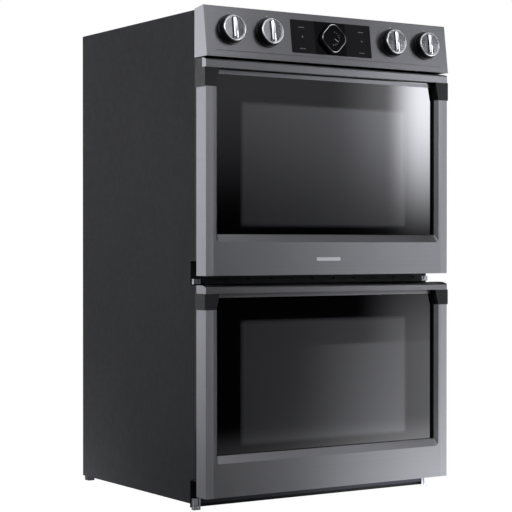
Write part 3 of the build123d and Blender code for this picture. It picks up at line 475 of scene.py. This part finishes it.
def stack(name, outline, sections, matrix, material, body, smooth=30):
    """Lofts an outline through sections of (inset, height); outline(inset) gives its points."""
    mesh = bmesh.new()
    loops = []
    for inset, height in sections:
        loops.append([mesh.verts.new((x * MM, y * MM, height * MM)) for x, y in outline(inset)])
    for first, second in zip(loops, loops[1:]):
        for index in range(len(first)):
            after = (index + 1) % len(first)
            mesh.faces.new((first[index], first[after], second[after], second[index]))
    mesh.faces.new(list(reversed(loops[0])))
    mesh.faces.new(loops[-1])
    return finish_mesh(name, mesh, matrix, material, body, smooth)


def circle(radius, count=96):
    """An outline function for a circle."""
    turn = 2 * math.pi / count
    return lambda inset: [
        ((radius - inset) * math.cos(i * turn), (radius - inset) * math.sin(i * turn)) for i in range(count)
    ]


def capsule(length, width, count=20):
    """An outline function for an upright slot shape."""
    def outline(inset):
        radius = width / 2 - inset
        offset = length / 2 - width / 2
        points = []
        for end in (1, -1):
            for i in range(count + 1):
                angle = math.pi * i / count + (0 if end > 0 else math.pi)
                points.append((radius * math.cos(angle), end * offset + radius * math.sin(angle)))
        return points
    return outline


def rounded_square(side, corner, turn_deg=0.0, wide=None, count=12):
    """An outline function for a rounded rectangle, turned about its middle."""
    wide = wide or side
    turn = math.radians(turn_deg)

    def outline(inset):
        half_x, half_y = wide / 2 - inset, side / 2 - inset
        radius = max(corner - inset, 0.05)
        points = []
        for quarter in range(4):
            sx = 1 if quarter in (0, 3) else -1
            sy = 1 if quarter in (0, 1) else -1
            for i in range(count + 1):
                angle = math.pi / 2 * (quarter + i / count)
                x = sx * (half_x - radius) + radius * math.cos(angle)
                y = sy * (half_y - radius) + radius * math.sin(angle)
                turned_x = x * math.cos(turn) - y * math.sin(turn)
                turned_y = x * math.sin(turn) + y * math.cos(turn)
                points.append((turned_x, turned_y))
        return points
    return outline


# ---------------------------------------------------------------- knobs
KNOB_BASE = 6.4
KNOB_TOP = 24.4
KNOB_RADIUS = 32.4


def make_knob(number):
    """One knob: black wall, bright rim, spun dark face and a raised grip bar."""
    body = f"knob_{number}"
    matrix = place(f"knob_{number}_turn")
    wall_sections = [
        (1.6, KNOB_BASE), (0.5, KNOB_BASE + 0.6), (0.2, KNOB_BASE + 2), (0.2, KNOB_TOP - 3.3), (0.7, KNOB_TOP - 2.9),
        (4.9, KNOB_TOP - 4.3),
    ]
    wall = stack(
        f"knob_{number}_wall", circle(KNOB_RADIUS), wall_sections, matrix, black_plastic, body, 50
    )
    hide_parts(body)
    rim_sections = [
        (0.6, KNOB_TOP - 3.2), (0.3, KNOB_TOP - 2.6), (0.4, KNOB_TOP - 1.5), (1.1, KNOB_TOP - 0.5), (2.3, KNOB_TOP),
        (3.6, KNOB_TOP - 0.5), (4.5, KNOB_TOP - 1.6), (4.7, KNOB_TOP - 4.6),
    ]
    stack(f"knob_{number}_rim", circle(KNOB_RADIUS), rim_sections, matrix, bright_trim, body, 50)
    face_sections = [(4.8, KNOB_TOP - 4.1), (5.2, KNOB_TOP - 3.2), (14, KNOB_TOP - 2.7), (26, KNOB_TOP - 2.2)]
    stack(
        f"knob_{number}_face", circle(KNOB_RADIUS), face_sections, matrix, knob_face, body, 20
    )
    grip_sections = [
        (0, KNOB_TOP - 4), (0.1, KNOB_TOP + 2.6), (0.5, KNOB_TOP + 4.2), (1.3, KNOB_TOP + 5.3), (2.6, KNOB_TOP + 5.9),
    ]
    stack(f"knob_{number}_grip", capsule(57.5, 12.5), grip_sections, matrix, chrome, body, 40)


for knob_number in (1, 2, 3, 4):
    make_knob(knob_number)


# ---------------------------------------------------------------- dial
DIAL_SIDE = 64.0
DIAL_CORNER = 20.0
dial_place = place("dial_turn")
ring_sections = [
    (1.2, 0.9), (0.3, 1.6), (0.1, 3), (0.1, 11.6), (0.4, 12.5), (0.8, 12.7), (2.4, 12.7), (3.1, 12.0), (3.3, 2.0),
]
ring = stack(
    "dial_ring_body", rounded_square(DIAL_SIDE, DIAL_CORNER, 45), ring_sections, dial_place, black_plastic,
    "dial_ring", 50,
)
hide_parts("dial_ring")
bead_sections = [(0.5, 2.2), (0.5, 13.1), (1.1, 13.7), (1.9, 13.1), (1.9, 2.4)]
stack(
    "dial_bead", rounded_square(DIAL_SIDE, DIAL_CORNER, 45), bead_sections, dial_place, bright_trim,
    "dial_ring", 50,
)
cap_sections = [(0, 6.7), (0.1, 11.2), (0.6, 11.9), (6, 11.6), (16, 11.2)]
cap = stack(
    "dial_cap", rounded_square(DIAL_SIDE - 8, DIAL_CORNER - 4, 45), cap_sections, dial_place, control_glass,
    "dial_button", 40,
)
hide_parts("dial_button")


def mark(name, x, y, wide, tall, lift, matrix, material, body, turn=0.0):
    """A small printed mark, a rounded lozenge a fraction of a millimetre thick."""
    spot = matrix @ Matrix.Translation((x * MM, y * MM, lift * MM)) @ Matrix.Rotation(math.radians(turn), 4, "Z")
    corner = min(wide, tall) * 0.45
    outline = rounded_square(tall, corner, 0, wide, 4)
    return stack(name, outline, [(0, 0), (0, 0.1), (0.12, 0.16)], spot, material, body, 40)


for index in range(9):
    angle = math.radians(-100 + index * 22)
    mark(
        f"dial_tick_{index}", 17 * math.cos(angle), 17 * math.sin(angle), 4.2, 1.1, 11.3, dial_place, dim_ink,
        "dial_button", math.degrees(angle),
    )
mark("dial_pointer", 8, -5, 12, 1.6, 11.2, dial_place, ink, "dial_button", -32)


# ---------------------------------------------------------------- trim strips on the doors' glass
def bar(name, low, high, material, body, soft=0.0004):
    """A box with eased edges, in metres in the shared frame."""
    mesh = bmesh.new()
    bmesh.ops.create_cube(mesh, size=1.0)
    size = [b - a for a, b in zip(low, high)]
    middle = [(a + b) / 2 for a, b in zip(low, high)]
    for vertex in mesh.verts:
        vertex.co = Vector([c * s + m for c, s, m in zip(vertex.co, size, middle)])
    bmesh.ops.bevel(mesh, geom=mesh.edges[:], offset=soft, segments=2, affect="EDGES", clamp_overlap=True)
    return finish_mesh(name, mesh, Matrix(), material, body)


for level in ("upper", "lower"):
    glass_low, glass_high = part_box(f"{level}_door_glass")
    rail_low, rail_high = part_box(f"{level}_handle_rail")
    gap = 0.0035 if level == "upper" else 0.0005
    bar(
        f"{level}_glass_trim", (-0.336, glass_low.y - 0.0006, rail_low.z - gap - 0.010),
        (0.336, glass_low.y + 0.001, rail_low.z - gap), rail_steel, f"{level}_door",
    )


# ---------------------------------------------------------------- printed marks on the fascia
face_place = place("dial_turn")
DIAL_RISE = 66.0
DISPLAY_FACE = 0.4


def face_mark(name, x, rise, wide, tall, material, lift=0.0, turn=0.0):
    """A mark on the fascia, placed by its height above the fascia's lower edge."""
    return mark(name, x, rise - DIAL_RISE, wide, tall, lift, face_place, material, "cabinet", turn)


knob_x = {number: 1000 * joints[f"knob_{number}_turn"]["pos_m"][0] for number in (1, 2, 3, 4)}
for number, x in knob_x.items():
    face_mark(f"knob_dot_{number}", x, 69 + 42.5, 3.2, 3.2, ink)
for side, (first, second) in enumerate(((1, 2), (3, 4))):
    middle = (knob_x[first] + knob_x[second]) / 2
    for dash, (shift, wide) in enumerate(((-7, 9), (1.5, 6), (7.5, 4))):
        face_mark(f"label_{side}_{dash}", middle + shift, 101, wide, 2.0, dim_ink)
for side, x in enumerate((-92, 94)):
    face_mark(f"panel_bar_high_{side}", x, 91, 17, 1.5, dim_ink, DISPLAY_FACE)
    face_mark(f"panel_spot_{side}", x + 2, 67, 4, 4, dim_ink, DISPLAY_FACE)
    for dash in (-6, 0, 6):
        face_mark(f"panel_dash_{side}_{dash + 6}", x + dash, 36, 4, 1.8, dim_ink, DISPLAY_FACE)


# ---------------------------------------------------------------- studio
def card(name, middle, target, size, strength, color=(0.97, 0.98, 1.0)):
    """A rectangular soft light that faces a point."""
    data = bpy.data.lights.new(name, "AREA")
    data.shape = "RECTANGLE"
    data.size, data.size_y = size
    data.energy = strength
    data.color = color
    lamp = bpy.data.objects.new(name, data)
    lamp.location = middle
    lamp.rotation_euler = (Vector(target) - Vector(middle)).to_track_quat("-Z", "Y").to_euler()
    bpy.context.scene.collection.objects.link(lamp)
    return lamp


class Glow(Surface):
    """A studio panel's shader: emission whose strength varies over the panel."""

    def __init__(self, name):
        self.material = bpy.data.materials.new(name)
        self.material.use_nodes = True
        self.tree = self.material.node_tree
        self.tree.nodes.clear()
        self.shader = self.node("ShaderNodeEmission")
        self.shader.inputs["Color"].default_value = (0.965, 0.97, 1.03, 1)
        self.out = self.node("ShaderNodeOutputMaterial")
        self.link(self.shader.outputs[0], self.out.inputs[0])

    def axis(self, name):
        split = self.node("ShaderNodeSeparateXYZ")
        self.link(self.coords(), split.inputs[0])
        return split.outputs[name]

    def ramp(self, value, start, end, low=0.0, high=1.0):
        """A smooth change from low to high while value goes from start to end."""
        made = self.node("ShaderNodeMapRange", interpolation_type="SMOOTHSTEP")
        self.link(value, made.inputs["Value"])
        for key, number in (("From Min", start), ("From Max", end), ("To Min", low), ("To Max", high)):
            made.inputs[key].default_value = number
        return made.outputs["Result"]

    def total(self, *values):
        added = values[0]
        for value in values[1:]:
            added = self.math("ADD", added, value)
        return added


def panel(name, corners, look):
    """A glowing sheet that the camera doesn't see."""
    mesh = bmesh.new()
    mesh.faces.new([mesh.verts.new(corner) for corner in corners])
    data = bpy.data.meshes.new(name)
    mesh.to_mesh(data)
    mesh.free()
    sheet = bpy.data.objects.new(name, data)
    bpy.context.scene.collection.objects.link(sheet)
    sheet.visible_camera = False
    data.materials.append(look.material)


front_look = Glow("front_glow")
across = front_look.axis("X")
height = front_look.axis("Z")
strip = front_look.math(
    "MULTIPLY",
    front_look.total(front_look.ramp(across, 2.22, 2.46, 0, 0.86), front_look.ramp(across, 1.9, 2.4, 0, 0.14)),
    front_look.ramp(height, 0.64, 1.36),
)
strip = front_look.math("MULTIPLY", strip, front_look.ramp(height, 1.85, 1.95, 9.0, 0.0))
strip = front_look.math("MULTIPLY", strip, front_look.ramp(across, 2.66, 2.74, 1.0, 0.0))
low_sky = front_look.ramp(height, 0.75, 1.4, 0, 0.3)
sides = front_look.total(
    front_look.ramp(across, 1.25, 1.7, 2.6, 0.0), front_look.ramp(across, 2.45, 2.95, 0.06, 1.3)
)
high_sky = front_look.math("MULTIPLY", front_look.ramp(height, 1.4, 3.0, 0, 1.1), sides)
low_strip = front_look.math(
    "MULTIPLY", front_look.ramp(across, 2.05, 2.5), front_look.ramp(height, 0.2, 0.48, 0.95, 0.45)
)
low_strip = front_look.math("MULTIPLY", low_strip, front_look.ramp(height, 0.48, 0.64, 1.0, 0.0))
front_look.link(front_look.total(strip, low_strip, low_sky, high_sky), front_look.shader.inputs["Strength"])
panel("front_panel", ((-1, -3, 0.2), (4, -3, 0.2), (4, -3, 3.2), (-1, -3, 3.2)), front_look)

side_look = Glow("side_glow")
side_look.link(side_look.ramp(side_look.axis("Z"), -0.1, 1.25, 0.75, 2.9), side_look.shader.inputs["Strength"])
panel("side_panel", ((-2.4, 2, 0.1), (-2.4, 5, 0.1), (-2.4, 5, 3), (-2.4, 2, 3)), side_look)

card("fill_left", (-3.5, -0.5, 2.2), (-0.3, -0.2, 1.0), (2.4, 2.0), 62)
card("front_soft", (-0.6, -4.5, 2.4), (0, 0, 0.8), (2.5, 1.5), 18)
card("top_soft", (0, 0.0, 3.6), (0, 0, 0), (3.0, 3.0), 20)

FLOOR_SIZE = 14.0
floor_mesh = bmesh.new()
bmesh.ops.create_grid(floor_mesh, x_segments=8, y_segments=8, size=FLOOR_SIZE / 2)
floor_data = bpy.data.meshes.new("floor")
floor_mesh.to_mesh(floor_data)
floor_mesh.free()
floor = bpy.data.objects.new("floor", floor_data)
bpy.context.scene.collection.objects.link(floor)

floor_look = Glow("floor_look")
depth = floor_look.axis("Y")
aside = floor_look.math("ADD", floor_look.axis("X"), 2.4)
fan = floor_look.math("DIVIDE", aside, floor_look.math("SUBTRACT", 3.03, depth))
near = floor_look.math(
    "MULTIPLY", floor_look.ramp(depth, -1.9, -1.0), floor_look.ramp(fan, 0.6, 0.82, 0.2, 1.1)
)
near = floor_look.math("MULTIPLY", near, floor_look.ramp(floor_look.axis("X"), -0.9, -0.3))
glare = floor_look.total(floor_look.ramp(fan, 0.675, 0.85, 0.0, 1.3), near)
floor_look.link(glare, floor_look.shader.inputs["Strength"])
ray = floor_look.node("ShaderNodeLightPath")
paper = floor_look.node("ShaderNodeEmission")
paper.inputs["Strength"].default_value = 1.04
matte = floor_look.node("ShaderNodeBsdfDiffuse")
matte.inputs["Color"].default_value = (0.6, 0.6, 0.61, 1)
pale = floor_look.node("ShaderNodeMixShader")
pale.inputs[0].default_value = 0.96
either = floor_look.node("ShaderNodeMixShader")
floor_look.link(matte.outputs[0], pale.inputs[1])
floor_look.link(paper.outputs[0], pale.inputs[2])
floor_look.link(ray.outputs["Is Camera Ray"], either.inputs[0])
floor_look.link(floor_look.shader.outputs[0], either.inputs[1])
floor_look.link(pale.outputs[0], either.inputs[2])
floor_look.link(either.outputs[0], floor_look.out.inputs[0])
floor_data.materials.append(floor_look.material)

world = bpy.data.worlds.new("studio")
bpy.context.scene.world = world
world.use_nodes = True
world_tree = world.node_tree
world_tree.nodes.clear()
world_ray = world_tree.nodes.new("ShaderNodeLightPath")
seen = world_tree.nodes.new("ShaderNodeBackground")
seen.inputs["Color"].default_value = (1, 1, 1, 1)
lit = world_tree.nodes.new("ShaderNodeBackground")
lit.inputs["Color"].default_value = (0.85, 0.87, 0.93, 1)
lit.inputs["Strength"].default_value = 0.03
world_mix = world_tree.nodes.new("ShaderNodeMixShader")
world_out = world_tree.nodes.new("ShaderNodeOutputWorld")
world_tree.links.new(world_ray.outputs["Is Camera Ray"], world_mix.inputs[0])
world_tree.links.new(lit.outputs[0], world_mix.inputs[1])
world_tree.links.new(seen.outputs[0], world_mix.inputs[2])
world_tree.links.new(world_mix.outputs[0], world_out.inputs[0])

scene = bpy.context.scene
scene.view_settings.view_transform = "Standard"
scene.view_settings.look = "None"

# ---------------------------------------------------------------- camera
AZIMUTH = 32.76
PITCH = -0.38
LENS = 113.3
door_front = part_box("upper_door_frame")[0].y
camera_data = bpy.data.cameras.new("camera")
camera_data.lens = LENS
camera_data.sensor_width = 36.0
camera_data.clip_end = 60
camera = bpy.data.objects.new("camera", camera_data)
camera.location = (-2.401, door_front - 3.369, 0.658)
camera.rotation_euler = (math.radians(90 + PITCH), 0, -math.radians(AZIMUTH))
scene.collection.objects.link(camera)
scene.camera = camera

bpy.context.view_layer.update()
